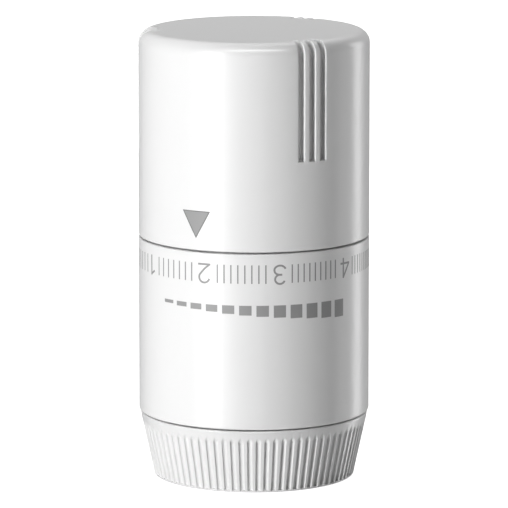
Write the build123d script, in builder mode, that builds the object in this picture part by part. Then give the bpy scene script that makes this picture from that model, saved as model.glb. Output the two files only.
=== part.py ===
"""Thermostatic radiator head with a liquid sensor, standing on its union nut.

The head screws to a radiator valve with a loose M30 x 1.5 nut. A cap-shaped handle
turns on a fixed body. It turns a carrier that climbs a coarse four-start thread, and
so moves the liquid sensor towards the valve's pin or away from it.

Axes: +Z runs from the union nut to the handle's top, and -Y faces the middle of the scale.
The origin is the centre of the nut's open face. All sizes are millimetres.
"""

from build123d import *
import math
import os

os.makedirs("parts", exist_ok=True)

# ---------------------------------------------------------------- driving dimensions
BODY_R = 20.0  # outside of the handle and of the scale sleeve
HEIGHT = 78.0  # nut's open face to the handle's top
WALL = 1.8  # plastic wall
SEAM = 0.4  # open gap between the outer shells
NUT_TOP = 11.2  # height of the union nut
SLEEVE_TOP = 42.0  # top edge of the scale sleeve
RUN = 0.15  # radial running clearance between pieces that turn or slide
EDGE = 0.3  # small edge chamfer

# union nut
NUT_FOOT_R = 17.45  # outside, at the open end
NUT_HEAD_R = 19.75  # outside, under the sleeve
NUT_BAND = 1.3  # plain band above the flutes
FLUTES = 82
FLUTE_R = 0.46  # radius of each flute
THREAD_MINOR_R = 14.19  # M30 x 1.5 internal thread, minor radius
THREAD_LEAD_IN = 1.0  # height of the chamfer before the thread
RELIEF_R = 15.2  # undercut above the thread
NUT_LIP_Z = 9.7  # underside of the lip that the snap ring holds
NECK_R = 13.0  # neck of the body, inside the nut

# fixed body
SEAT_Z = 7.0  # face that rests on the valve
BORE_R = 10.5  # bore around the valve's gland
BORE_TOP = 18.0
BORE_RELIEF_R = 11.0
LEDGE_Z = 21.0  # ledge that carries the plunger guide
SHELF_Z = 13.4  # underside of the shoulder, on the sleeve's floor
SHELF_TOP = 16.4
SHELF_R = 17.9
TUBE_R = 15.9  # outside of the body's long tube
TUBE_BORE_R = 13.05
TUBE_TOP = 46.0

# coarse setting thread
LEAD = 8.0
STARTS = 4
CREST_R = 13.9  # outside of the carrier's thread
GROOVE_R = 14.1  # bottom of the body's thread
RIB_ROOT = 1.1  # axial width of the carrier's ribs
RIB_CREST = 0.7
RIDGE_ROOT = 1.1  # axial width of the body's ridges, which leave 0.15 of play
RIDGE_CREST = 0.75

# carrier, sensor and plunger
CARRIER_R = 12.8
CARRIER_BORE_R = 11.35
CARRIER_Z = 34.3
CARRIER_TOP = 72.0
SENSOR_Z = 36.0
SENSOR_R = 11.2
SENSOR_TOP = 59.5
STEM_R = 3.0
PLUNGER_R = 4.0
PLUNGER_FOOT_Z = 20.2
PLUNGER_TOP_Z = 33.0
COLLAR_R = 6.6
COLLAR_H = 1.5
GUIDE_TOP_Z = 27.0
BELLOWS_TOP_Z = 53.0

# handle
SPIGOT_R = 17.9  # skirt of the handle, inside the sleeve
SPIGOT_Z = 25.0
STOP_LUG_Z = 19.6
STOP_LUG_ARC = 20.0  # degrees
TRAVEL = (-80.0, 118.0)  # degrees, from the position that is modelled
HANDLE_TOP_T = 2.0
TOP_FILLET = 2.2
GRIP_ANGLES = (24.3, 30.6, 36.9)  # degrees from the scale's middle, one group
GRIP_GROUPS = 3
GRIP_W = 1.2
GRIP_DEPTH = 1.0
GRIP_Z = 57.6  # lower end of the grip grooves
DRIVE_KEYS = 6
KEY_W = 2.0
KEY_R = 14.3

FRONT = -90.0  # the scale's middle faces -Y


def ring_profile(inner, outer, low, high):
    """A rectangular half section of a ring, for a revolve about Z."""
    Polygon((inner, low), (outer, low), (outer, high), (inner, high), align=None)


def radial_plane(angle):
    """The upright plane whose X points away from the Z axis at an angle in degrees."""
    turn = math.radians(angle)
    return Plane(
        origin=(0, 0, 0),
        x_dir=(math.cos(turn), math.sin(turn), 0),
        z_dir=(math.sin(turn), -math.cos(turn), 0),
    )


def write(piece, name):
    """Labels a finished piece and writes it as its own STEP file."""
    piece.part.label = name
    export_step(piece.part, f"parts/{name}.step")


# ================================================================ union nut
flute_slope = (NUT_HEAD_R - NUT_FOOT_R) / (NUT_TOP - 2 * EDGE)
flute_start = Plane(
    origin=(NUT_FOOT_R - flute_slope, 0, EDGE - 1.0),
    z_dir=(flute_slope, 0, 1),
)
flute_length = (NUT_TOP - NUT_BAND - FLUTE_R - EDGE + 1.0) * math.hypot(1, flute_slope)

with BuildPart() as flute_cutter:
    with BuildSketch(flute_start):
        Circle(FLUTE_R)
    extrude(amount=flute_length)
    with Locations(flute_start.offset(flute_length)):
        Sphere(FLUTE_R)

with BuildPart() as union_nut:
    with BuildSketch(Plane.XZ):
        Polygon(
            (THREAD_MINOR_R + THREAD_LEAD_IN, 0),
            (NUT_FOOT_R - EDGE, 0),
            (NUT_FOOT_R, EDGE),
            (NUT_HEAD_R, NUT_TOP - EDGE),
            (NUT_HEAD_R - EDGE, NUT_TOP),
            (NECK_R + RUN + EDGE, NUT_TOP),
            (NECK_R + RUN, NUT_TOP - EDGE),
            (NECK_R + RUN, NUT_LIP_Z),
            (RELIEF_R, NUT_LIP_Z),
            (RELIEF_R, SEAT_Z + THREAD_LEAD_IN),
            (THREAD_MINOR_R, SEAT_Z),
            (THREAD_MINOR_R, THREAD_LEAD_IN),
            align=None,
        )
    revolve(axis=Axis.Z)
    with PolarLocations(0, FLUTES):
        add(flute_cutter.part, mode=Mode.SUBTRACT)
write(union_nut, "union_nut")

# wire ring that holds the nut on the neck
NUT_WIRE_R = 0.75
NUT_WIRE_Z = 8.75
NUT_WIRE_MEAN_R = 13.05
WIRE_GAP = 14.0  # degrees left open in a snap ring
with BuildPart() as nut_snap_ring:
    with BuildSketch(Plane.XZ):
        with Locations((NUT_WIRE_MEAN_R, NUT_WIRE_Z)):
            Circle(NUT_WIRE_R)
    revolve(axis=Axis.Z, revolution_arc=360 - WIRE_GAP)
write(nut_snap_ring, "nut_snap_ring")

# ================================================================ fixed body
NUT_GROOVE = (NUT_WIRE_Z - NUT_WIRE_R - 0.05, NUT_WIRE_Z + NUT_WIRE_R + 0.05)
NUT_GROOVE_R = 12.2
CLIP_Z = (22.85, 23.75)  # clip above the plunger guide
CLIP_GROOVE_R = 13.8
ORING_Z = 28.0
ORING_R = 0.75
ORING_GROOVE_R = 14.45
RETAINER_Z = (40.0, 41.2)  # ring that holds the handle down
RETAINER_GROOVE_R = 15.2
GROOVE_PLAY = 0.1
SCREW_CIRCLE_R = 15.4
SCREW_R = 1.1
SCREW_HEAD_R = 1.95
SCREWS = 3
SCREW_START = FRONT + 60  # angle of the first screw


def thread_ribs(low, height, inner, outer, inner_width, outer_width):
    """Helical ribs, one per start, from radius inner to outer, rising from z = low."""
    path = Helix(pitch=LEAD, height=height, radius=(inner + outer) / 2, center=(0, 0, low))
    with BuildPart() as rib:
        with BuildSketch(Plane.XZ):
            Polygon(
                (inner, low - inner_width / 2),
                (outer, low - outer_width / 2),
                (outer, low + outer_width / 2),
                (inner, low + inner_width / 2),
                align=None,
            )
        sweep(path=path, is_frenet=True)
    with BuildPart() as ribs:
        with PolarLocations(0, STARTS):
            add(rib.part)
    return ribs.part


GROOVE_FOOT_Z = 31.0  # lower end of the thread's bore
RIDGE_Z = GROOVE_FOOT_Z + 1.0
body_thread = thread_ribs(
    RIDGE_Z, TUBE_TOP - RIDGE_Z - 1.0, TUBE_BORE_R, GROOVE_R + 0.3, RIDGE_CREST, RIDGE_ROOT
)

with BuildPart() as base_body:
    with BuildSketch(Plane.XZ):
        Polygon(
            (BORE_R, SEAT_Z),
            (NECK_R - EDGE, SEAT_Z),
            (NECK_R, SEAT_Z + EDGE),
            (NECK_R, NUT_GROOVE[0]),
            (NUT_GROOVE_R, NUT_GROOVE[0]),
            (NUT_GROOVE_R, NUT_GROOVE[1]),
            (NECK_R, NUT_GROOVE[1]),
            (NECK_R, SHELF_Z),
            (SHELF_R, SHELF_Z),
            (SHELF_R, SHELF_TOP),
            (TUBE_R, SHELF_TOP),
            (TUBE_R, ORING_Z - ORING_R - GROOVE_PLAY),
            (ORING_GROOVE_R, ORING_Z - ORING_R - GROOVE_PLAY),
            (ORING_GROOVE_R, ORING_Z + ORING_R + GROOVE_PLAY),
            (TUBE_R, ORING_Z + ORING_R + GROOVE_PLAY),
            (TUBE_R, RETAINER_Z[0] - GROOVE_PLAY),
            (RETAINER_GROOVE_R, RETAINER_Z[0] - GROOVE_PLAY),
            (RETAINER_GROOVE_R, RETAINER_Z[1] + GROOVE_PLAY),
            (TUBE_R, RETAINER_Z[1] + GROOVE_PLAY),
            (TUBE_R, TUBE_TOP - EDGE),
            (TUBE_R - EDGE, TUBE_TOP),
            (GROOVE_R, TUBE_TOP),
            (GROOVE_R, GROOVE_FOOT_Z),
            (TUBE_BORE_R, GROOVE_FOOT_Z),
            (TUBE_BORE_R, CLIP_Z[1] + GROOVE_PLAY),
            (CLIP_GROOVE_R, CLIP_Z[1] + GROOVE_PLAY),
            (CLIP_GROOVE_R, CLIP_Z[0] - GROOVE_PLAY),
            (TUBE_BORE_R, CLIP_Z[0] - GROOVE_PLAY),
            (TUBE_BORE_R, LEDGE_Z),
            (BORE_RELIEF_R, LEDGE_Z),
            (BORE_RELIEF_R, BORE_TOP),
            (BORE_R, BORE_TOP),
            align=None,
        )
    revolve(axis=Axis.Z)
    add(body_thread)
    with BuildSketch(Plane.XY.offset(SHELF_Z)):
        with PolarLocations(SCREW_CIRCLE_R, SCREWS, SCREW_START):
            Circle(SCREW_R - 0.15)
    extrude(amount=SHELF_TOP - SHELF_Z - 0.5, mode=Mode.SUBTRACT)
write(base_body, "base_body")

# middle shell with the printed scale
SLEEVE_Z = NUT_TOP + SEAM
SLEEVE_LEDGE = 0.25
with BuildPart() as screw_seat:
    with BuildSketch(Plane.XZ):
        Polygon(
            (0, SLEEVE_Z - 0.1),
            (SCREW_HEAD_R + 0.2, SLEEVE_Z - 0.1),
            (SCREW_R + 0.1, SLEEVE_Z + SCREW_HEAD_R - SCREW_R),
            (SCREW_R + 0.1, SHELF_Z + 0.1),
            (0, SHELF_Z + 0.1),
            align=None,
        )
    revolve(axis=Axis.Z)

with BuildPart() as scale_sleeve:
    with BuildSketch(Plane.XZ):
        Polygon(
            (NECK_R + 0.1, SLEEVE_Z),
            (BODY_R - SLEEVE_LEDGE, SLEEVE_Z),
            (BODY_R, SLEEVE_Z + SLEEVE_LEDGE),
            (BODY_R, SLEEVE_TOP - SLEEVE_LEDGE),
            (BODY_R - SLEEVE_LEDGE, SLEEVE_TOP),
            (BODY_R - WALL, SLEEVE_TOP),
            (BODY_R - WALL, SHELF_Z),
            (NECK_R + 0.1, SHELF_Z),
            align=None,
        )
    revolve(axis=Axis.Z)
    with PolarLocations(SCREW_CIRCLE_R, SCREWS, SCREW_START):
        add(screw_seat.part, mode=Mode.SUBTRACT)
write(scale_sleeve, "scale_sleeve")

# three self-tapping screws that hold the sleeve to the body
SCREW_TIP_Z = 15.6
SCREW_CORE_R = SCREW_R - 0.2
SCREW_DRIVE_W = 2.2
with BuildPart() as one_screw:
    with BuildSketch(Plane.XZ):
        Polygon(
            (0, SLEEVE_Z + 0.02),
            (SCREW_HEAD_R, SLEEVE_Z + 0.02),
            (SCREW_CORE_R, SLEEVE_Z + 0.02 + SCREW_HEAD_R - SCREW_CORE_R),
            (SCREW_CORE_R, SCREW_TIP_Z - 0.6),
            (0.2, SCREW_TIP_Z),
            (0, SCREW_TIP_Z),
            align=None,
        )
    revolve(axis=Axis.Z)
    with BuildSketch(Plane.XY.offset(SLEEVE_Z)):
        RectangleRounded(SCREW_DRIVE_W, SCREW_DRIVE_W / 4, 0.1)
        RectangleRounded(SCREW_DRIVE_W / 4, SCREW_DRIVE_W, 0.1)
    extrude(amount=0.6, mode=Mode.SUBTRACT)

with BuildPart() as sleeve_screws:
    with PolarLocations(SCREW_CIRCLE_R, SCREWS, SCREW_START):
        add(one_screw.part)
write(sleeve_screws, "sleeve_screws")

# fixed stop that limits the handle's turn
STOP_BASE_H = 2.0
STOP_TOP_Z = 24.0
STOP_R = 17.8
FREE_ARC = TRAVEL[1] - TRAVEL[0] + STOP_LUG_ARC + 1.0  # degrees swept by the lug
LUG_CENTRE = FRONT  # angle of the handle's lug, as modelled
free_middle = LUG_CENTRE + (TRAVEL[0] + TRAVEL[1]) / 2
with BuildPart() as stop_ring:
    with BuildSketch(Plane.XZ):
        ring_profile(TUBE_R + 0.02, STOP_R, SHELF_TOP, SHELF_TOP + STOP_BASE_H)
    revolve(axis=Axis.Z)
    with BuildSketch(radial_plane(free_middle + FREE_ARC / 2)):
        ring_profile(TUBE_R + 0.02, STOP_R, SHELF_TOP, STOP_TOP_Z)
    revolve(axis=Axis.Z, revolution_arc=360 - FREE_ARC)
write(stop_ring, "stop_ring")

# rubber ring that gives the handle its drag
with BuildPart() as friction_ring:
    with BuildSketch(Plane.XZ):
        with Locations((ORING_GROOVE_R + ORING_R + 0.05, ORING_Z)):
            Circle(ORING_R)
    revolve(axis=Axis.Z)
write(friction_ring, "friction_ring")

# snap ring that keeps the handle on the body
RETAINER_OUT_R = 16.8
with BuildPart() as handle_snap_ring:
    with BuildSketch(Plane.XZ):
        ring_profile(RETAINER_GROOVE_R + 0.15, RETAINER_OUT_R, *RETAINER_Z)
    revolve(axis=Axis.Z, revolution_arc=360 - WIRE_GAP)
write(handle_snap_ring, "handle_snap_ring")

# guide that keeps the plunger on the axis
GUIDE_R = TUBE_BORE_R - 0.1
GUIDE_T = 1.8
GUIDE_BUSH_R = 5.3
GUIDE_SLOTS = 6
with BuildPart() as plunger_guide:
    with BuildSketch(Plane.XZ):
        Polygon(
            (PLUNGER_R + 0.1, LEDGE_Z - 0.5),
            (GUIDE_BUSH_R, LEDGE_Z - 0.5),
            (GUIDE_BUSH_R, LEDGE_Z),
            (GUIDE_R, LEDGE_Z),
            (GUIDE_R, LEDGE_Z + GUIDE_T),
            (GUIDE_BUSH_R, LEDGE_Z + GUIDE_T),
            (GUIDE_BUSH_R, GUIDE_TOP_Z - EDGE),
            (GUIDE_BUSH_R - EDGE, GUIDE_TOP_Z),
            (PLUNGER_R + 0.1, GUIDE_TOP_Z),
            align=None,
        )
    revolve(axis=Axis.Z)
    with BuildSketch(Plane.XY.offset(LEDGE_Z)):
        for slot in range(GUIDE_SLOTS):
            SlotArc(CenterArc((0, 0), 8.4, slot * 360 / GUIDE_SLOTS, 34, mode=Mode.PRIVATE), 2.6)
    extrude(amount=GUIDE_T, mode=Mode.SUBTRACT)
write(plunger_guide, "plunger_guide")

with BuildPart() as guide_clip:
    with BuildSketch(Plane.XZ):
        ring_profile(11.9, CLIP_GROOVE_R - 0.1, *CLIP_Z)
    revolve(axis=Axis.Z, revolution_arc=360 - 3 * WIRE_GAP)
write(guide_clip, "guide_clip")

# ================================================================ plunger and springs
BUTTON_R = 2.0
BUTTON_H = 3.0
with BuildPart() as plunger:
    with BuildSketch(Plane.XZ):
        Polygon(
            (0, PLUNGER_FOOT_Z + BUTTON_H),
            (BUTTON_R + 0.02, PLUNGER_FOOT_Z + BUTTON_H),
            (BUTTON_R + 0.02, PLUNGER_FOOT_Z),
            (PLUNGER_R - EDGE, PLUNGER_FOOT_Z),
            (PLUNGER_R, PLUNGER_FOOT_Z + EDGE),
            (PLUNGER_R, PLUNGER_TOP_Z - COLLAR_H),
            (COLLAR_R, PLUNGER_TOP_Z - COLLAR_H),
            (COLLAR_R, PLUNGER_TOP_Z - EDGE),
            (COLLAR_R - EDGE, PLUNGER_TOP_Z),
            (0, PLUNGER_TOP_Z),
            align=None,
        )
    revolve(axis=Axis.Z)
write(plunger, "plunger")

with BuildPart() as plunger_button:
    with BuildSketch(Plane.XZ):
        ring_profile(0, BUTTON_R, PLUNGER_FOOT_Z - 0.2, PLUNGER_FOOT_Z + BUTTON_H)
    revolve(axis=Axis.Z)
    chamfer(plunger_button.faces().sort_by(Axis.Z)[0].edges(), EDGE)
write(plunger_button, "plunger_button")


def coil(low, high, mean_r, wire_r, turns):
    """A helical spring whose wire just clears the planes at low and high."""
    foot = low + wire_r + 0.05
    height = high - low - 2 * wire_r - 0.1
    path = Helix(pitch=height / turns, height=height, radius=mean_r, center=(0, 0, foot))
    with BuildPart() as spring:
        with BuildSketch(Plane(origin=path @ 0, z_dir=path % 0)):
            Circle(wire_r)
        sweep(path=path, is_frenet=True)
    return spring


return_spring = coil(LEDGE_Z + GUIDE_T, PLUNGER_TOP_Z - COLLAR_H, 5.95, 0.3, 4.5)
write(return_spring, "return_spring")

# ================================================================ sensor carrier
RIB_Z = RIDGE_Z + 1.5 * LEAD / STARTS  # halfway between two of the body's ridges
RIB_H = 5.6
carrier_thread = thread_ribs(RIB_Z, RIB_H, CARRIER_R - 0.3, CREST_R, RIB_ROOT, RIB_CREST)

CAP_CLIP_Z = (70.3, 71.0)
CAP_CLIP_GROOVE_R = 12.1
SEAT_HOLE_R = 7.4
KEY_Z = (52.0, 64.0)
with BuildPart() as sensor_carrier:
    with BuildSketch(Plane.XZ):
        Polygon(
            (SEAT_HOLE_R, CARRIER_Z),
            (CARRIER_R - EDGE, CARRIER_Z),
            (CARRIER_R, CARRIER_Z + EDGE),
            (CARRIER_R, CARRIER_TOP),
            (CARRIER_BORE_R, CARRIER_TOP),
            (CARRIER_BORE_R, CAP_CLIP_Z[1] + GROOVE_PLAY),
            (CAP_CLIP_GROOVE_R, CAP_CLIP_Z[1] + GROOVE_PLAY),
            (CAP_CLIP_GROOVE_R, CAP_CLIP_Z[0]),
            (CARRIER_BORE_R, CAP_CLIP_Z[0]),
            (CARRIER_BORE_R, SENSOR_Z),
            (SEAT_HOLE_R, SENSOR_Z),
            align=None,
        )
    revolve(axis=Axis.Z)
    add(carrier_thread)
    with BuildSketch(Plane.XY.offset(KEY_Z[0])):
        with PolarLocations((CARRIER_R - 0.2 + KEY_R) / 2, DRIVE_KEYS):
            Rectangle(KEY_R - CARRIER_R + 0.2, KEY_W)
    extrude(amount=KEY_Z[1] - KEY_Z[0])
write(sensor_carrier, "sensor_carrier")

CAP_Z = 68.9
CAP_RIM_R = 8.4
with BuildPart() as carrier_cap:
    with BuildSketch(Plane.XZ):
        Polygon(
            (3.2, CAP_Z),
            (7.4, CAP_Z),
            (7.4, CAP_Z - 1.4),
            (CAP_RIM_R, CAP_Z - 1.4),
            (CAP_RIM_R, CAP_Z),
            (CARRIER_BORE_R - 0.1, CAP_Z),
            (CARRIER_BORE_R - 0.1, CAP_CLIP_Z[0]),
            (3.2, CAP_CLIP_Z[0]),
            align=None,
        )
    revolve(axis=Axis.Z)
write(carrier_cap, "carrier_cap")

with BuildPart() as cap_clip:
    with BuildSketch(Plane.XZ):
        ring_profile(10.2, CAP_CLIP_GROOVE_R - 0.1, *CAP_CLIP_Z)
    revolve(axis=Axis.Z, revolution_arc=360 - 3 * WIRE_GAP)
write(cap_clip, "cap_clip")

# ================================================================ liquid sensor
SHELL_T = 0.6
with BuildPart() as sensor_shell:
    with BuildSketch(Plane.XZ):
        with BuildLine():
            Polyline(
                (SENSOR_R - SHELL_T, SENSOR_Z),
                (SENSOR_R, SENSOR_Z),
                (SENSOR_R, SENSOR_TOP - 1.5),
            )
            RadiusArc((SENSOR_R, SENSOR_TOP - 1.5), (SENSOR_R - 1.5, SENSOR_TOP), -1.5)
            Polyline(
                (SENSOR_R - 1.5, SENSOR_TOP),
                (1.0, SENSOR_TOP),
                (1.0, SENSOR_TOP - SHELL_T),
                (SENSOR_R - 1.5, SENSOR_TOP - SHELL_T),
            )
            RadiusArc(
                (SENSOR_R - 1.5, SENSOR_TOP - SHELL_T),
                (SENSOR_R - SHELL_T, SENSOR_TOP - 1.5),
                1.5 - SHELL_T,
            )
            Line((SENSOR_R - SHELL_T, SENSOR_TOP - 1.5), (SENSOR_R - SHELL_T, SENSOR_Z))
        make_face()
    revolve(axis=Axis.Z)
write(sensor_shell, "sensor_shell")

END_PLATE_T = 1.4
BUSH_R = 4.4
with BuildPart() as sensor_end_plate:
    with BuildSketch(Plane.XZ):
        ring_profile(BUSH_R, SENSOR_R - SHELL_T, SENSOR_Z, SENSOR_Z + END_PLATE_T)
    revolve(axis=Axis.Z)
write(sensor_end_plate, "sensor_end_plate")

with BuildPart() as stem_bush:
    with BuildSketch(Plane.XZ):
        ring_profile(STEM_R + 0.05, BUSH_R, SENSOR_Z, SENSOR_Z + 5.0)
    revolve(axis=Axis.Z)
write(stem_bush, "stem_bush")

BELLOWS_OUT_R = 8.6
BELLOWS_IN_R = 6.0
BELLOWS_SKIN = 0.8  # radial shift between the two faces of the skin
BELLOWS_FOLDS = 11
bellows_z = SENSOR_Z + END_PLATE_T
fold = (BELLOWS_TOP_Z - bellows_z) / (2 * BELLOWS_FOLDS)
outer_edge = [
    (BELLOWS_OUT_R if i % 2 else BELLOWS_IN_R, bellows_z + i * fold)
    for i in range(2 * BELLOWS_FOLDS + 1)
]
inner_edge = [(radius - BELLOWS_SKIN, z) for radius, z in reversed(outer_edge)]
with BuildPart() as sensor_bellows:
    with BuildSketch(Plane.XZ):
        Polygon(*outer_edge, *inner_edge, align=None)
    revolve(axis=Axis.Z)
write(sensor_bellows, "sensor_bellows")

PISTON_HEAD_R = 8.4
PISTON_HEAD_T = 1.2
with BuildPart() as sensor_piston:
    with BuildSketch(Plane.XZ):
        Polygon(
            (0, PLUNGER_TOP_Z),
            (STEM_R - 0.5, PLUNGER_TOP_Z),
            (STEM_R, PLUNGER_TOP_Z + 0.5),
            (STEM_R, BELLOWS_TOP_Z),
            (PISTON_HEAD_R, BELLOWS_TOP_Z),
            (PISTON_HEAD_R, BELLOWS_TOP_Z + PISTON_HEAD_T),
            (0, BELLOWS_TOP_Z + PISTON_HEAD_T),
            align=None,
        )
    revolve(axis=Axis.Z)
write(sensor_piston, "sensor_piston")

SEAT_T = 1.2
with BuildPart() as spring_seat:
    with BuildSketch(Plane.XZ):
        Polygon(
            (3.5, SENSOR_TOP),
            (SENSOR_R - 1.6, SENSOR_TOP),
            (SENSOR_R - 0.2, SENSOR_TOP + 0.3),
            (SENSOR_R - 0.2, SENSOR_TOP + SEAT_T),
            (8.3, SENSOR_TOP + SEAT_T),
            (8.3, SENSOR_TOP + SEAT_T + 1.2),
            (7.3, SENSOR_TOP + SEAT_T + 1.2),
            (7.3, SENSOR_TOP + SEAT_T),
            (3.5, SENSOR_TOP + SEAT_T),
            align=None,
        )
    revolve(axis=Axis.Z)
write(spring_seat, "spring_seat")

overtravel_spring = coil(SENSOR_TOP + SEAT_T, CAP_Z, 9.4, 0.75, 3.0)
write(overtravel_spring, "overtravel_spring")

# pinched tube that closes the liquid charge
STUB_R = 1.4
with BuildPart() as fill_stub:
    with BuildSketch(Plane.XY.offset(SENSOR_TOP)):
        Circle(STUB_R)
    extrude(amount=1.6)
    with BuildSketch(Plane.XY.offset(SENSOR_TOP + 1.6)):
        Circle(STUB_R)
    with BuildSketch(Plane.XY.offset(SENSOR_TOP + 3.4)):
        Rectangle(2 * STUB_R, 0.7)
    loft()
write(fill_stub, "fill_stub")

# ================================================================ handle
HANDLE_Z = SLEEVE_TOP + SEAM
HANDLE_BORE_R = BODY_R - WALL - 0.2
LAND_TOP = 46.0
with BuildPart() as grip_cutter:
    floor_r = BODY_R - GRIP_DEPTH
    bend = 3.4  # radius of the groove's floor where it runs out over the top edge
    bend_z = HEIGHT + 0.15 - bend
    with BuildSketch(Plane.XZ):
        with BuildLine():
            Line((floor_r, GRIP_Z), (floor_r, bend_z))
            RadiusArc((floor_r, bend_z), (floor_r - bend, bend_z + bend), -bend)
            Polyline(
                (floor_r - bend, bend_z + bend),
                (floor_r - bend, HEIGHT + 2),
                (BODY_R + 2, HEIGHT + 2),
                (BODY_R + 2, GRIP_Z),
                (floor_r, GRIP_Z),
            )
        make_face()
    extrude(amount=GRIP_W / 2, both=True)

grip_turns = [
    FRONT + angle + group * 360 / GRIP_GROUPS
    for group in range(GRIP_GROUPS)
    for angle in GRIP_ANGLES
]

with BuildPart() as handle_shell:
    with BuildSketch(Plane.XZ):
        with BuildLine():
            Polyline(
                (0, HEIGHT - HANDLE_TOP_T),
                (HANDLE_BORE_R, HEIGHT - HANDLE_TOP_T),
                (HANDLE_BORE_R, LAND_TOP),
                (TUBE_R + RUN, LAND_TOP),
                (TUBE_R + RUN, RETAINER_Z[1] + GROOVE_PLAY),
                (RETAINER_OUT_R + 0.2, RETAINER_Z[1] + GROOVE_PLAY),
                (RETAINER_OUT_R + 0.2, RETAINER_Z[0] - GROOVE_PLAY),
                (TUBE_R + RUN, RETAINER_Z[0] - GROOVE_PLAY),
                (TUBE_R + RUN, SPIGOT_Z + EDGE),
                (TUBE_R + RUN + EDGE, SPIGOT_Z),
                (SPIGOT_R, SPIGOT_Z),
                (SPIGOT_R, HANDLE_Z),
                (BODY_R - SLEEVE_LEDGE, HANDLE_Z),
                (BODY_R, HANDLE_Z + SLEEVE_LEDGE),
                (BODY_R, HEIGHT - TOP_FILLET),
            )
            RadiusArc((BODY_R, HEIGHT - TOP_FILLET), (BODY_R - TOP_FILLET, HEIGHT), -TOP_FILLET)
            Polyline((BODY_R - TOP_FILLET, HEIGHT), (0, HEIGHT), (0, HEIGHT - HANDLE_TOP_T))
        make_face()
    revolve(axis=Axis.Z)
    with BuildSketch(radial_plane(LUG_CENTRE - STOP_LUG_ARC / 2)):
        ring_profile(TUBE_R + RUN + 0.1, STOP_R - 0.1, STOP_LUG_Z, SPIGOT_Z + 0.5)
    revolve(axis=Axis.Z, revolution_arc=STOP_LUG_ARC)
    with Locations([Rot(0, 0, turn) for turn in grip_turns]):
        add(grip_cutter.part, mode=Mode.SUBTRACT)
write(handle_shell, "handle_shell")

# splined sleeve that drives the carrier and lets it climb
DRIVE_BORE_R = 13.2
DRIVE_R = 15.0
DRIVE_Z = 48.0
FIN_W = 1.2
with BuildPart() as drive_sleeve:
    with BuildSketch(Plane.XZ):
        Polygon(
            (DRIVE_BORE_R, DRIVE_Z),
            (DRIVE_R, DRIVE_Z),
            (DRIVE_R, HEIGHT - HANDLE_TOP_T - 2.0),
            (HANDLE_BORE_R - 0.05, HEIGHT - HANDLE_TOP_T - 2.0),
            (HANDLE_BORE_R - 0.05, HEIGHT - HANDLE_TOP_T),
            (DRIVE_BORE_R, HEIGHT - HANDLE_TOP_T),
            align=None,
        )
    revolve(axis=Axis.Z)
    with BuildSketch(Plane.XY.offset(DRIVE_Z)):
        with PolarLocations((DRIVE_R - 0.3 + HANDLE_BORE_R - 0.1) / 2, DRIVE_KEYS, 30):
            Rectangle(HANDLE_BORE_R - DRIVE_R + 0.2, FIN_W)
    extrude(amount=HEIGHT - HANDLE_TOP_T - DRIVE_Z)
    with BuildSketch(Plane.XY.offset(DRIVE_Z)):
        with PolarLocations((DRIVE_BORE_R - 0.5 + KEY_R + RUN) / 2, DRIVE_KEYS):
            Rectangle(KEY_R + RUN - DRIVE_BORE_R + 0.5, KEY_W + 2 * RUN)
    extrude(amount=HEIGHT - HANDLE_TOP_T - DRIVE_Z - 2.5, mode=Mode.SUBTRACT)
write(drive_sleeve, "drive_sleeve")
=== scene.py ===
"""Looks of a thermostatic radiator head, built round its CAD frame.

Laid out as an add-on. The sizes and colours are properties of the scene, and each
operator makes one piece or one group of like pieces. Properties hold metres, as the
frame does. Outlines inside the functions are millimetres, and MM turns them into metres.
Angles on the scale are counted from its middle, which faces -Y, positive to the right.
"""

import math

import bpy
from bpy.props import FloatProperty, FloatVectorProperty, IntProperty, PointerProperty
from bpy.types import Operator, Panel, PropertyGroup
from mathutils import Matrix, Vector


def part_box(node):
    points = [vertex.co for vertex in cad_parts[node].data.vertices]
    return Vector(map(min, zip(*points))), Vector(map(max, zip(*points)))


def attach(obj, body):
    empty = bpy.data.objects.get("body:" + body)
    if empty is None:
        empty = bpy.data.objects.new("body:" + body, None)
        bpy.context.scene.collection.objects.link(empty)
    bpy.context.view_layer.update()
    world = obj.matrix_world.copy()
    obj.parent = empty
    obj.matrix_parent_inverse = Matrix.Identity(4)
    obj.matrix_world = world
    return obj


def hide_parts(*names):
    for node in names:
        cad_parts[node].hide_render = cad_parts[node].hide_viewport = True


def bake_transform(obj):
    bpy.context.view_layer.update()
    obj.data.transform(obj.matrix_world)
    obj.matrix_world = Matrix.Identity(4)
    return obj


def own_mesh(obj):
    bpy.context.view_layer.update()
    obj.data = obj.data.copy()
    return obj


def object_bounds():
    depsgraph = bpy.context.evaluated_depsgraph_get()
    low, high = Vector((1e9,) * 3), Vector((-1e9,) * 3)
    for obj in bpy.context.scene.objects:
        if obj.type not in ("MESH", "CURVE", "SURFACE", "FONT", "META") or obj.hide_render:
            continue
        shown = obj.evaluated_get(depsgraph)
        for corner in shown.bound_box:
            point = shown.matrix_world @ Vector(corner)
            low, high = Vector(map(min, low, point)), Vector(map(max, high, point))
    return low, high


bl_info = {
    "name": "Radiator Head",
    "version": (1, 0, 0),
    "blender": (4, 5, 0),
    "location": "3D View > Sidebar > Radiator Head",
    "description": "Builds a thermostatic radiator head round its CAD frame",
    "category": "Add Mesh",
}

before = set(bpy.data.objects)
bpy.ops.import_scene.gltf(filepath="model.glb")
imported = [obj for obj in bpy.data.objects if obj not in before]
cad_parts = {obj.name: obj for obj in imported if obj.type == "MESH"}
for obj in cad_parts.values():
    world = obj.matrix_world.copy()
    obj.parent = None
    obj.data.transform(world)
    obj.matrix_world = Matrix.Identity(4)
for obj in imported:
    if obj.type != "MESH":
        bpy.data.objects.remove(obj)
CAD_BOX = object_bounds()
MM = 0.001
SLEEVE_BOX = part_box("scale_sleeve")
NUT_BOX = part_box("union_nut")
HANDLE_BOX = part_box("handle_shell")


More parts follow.
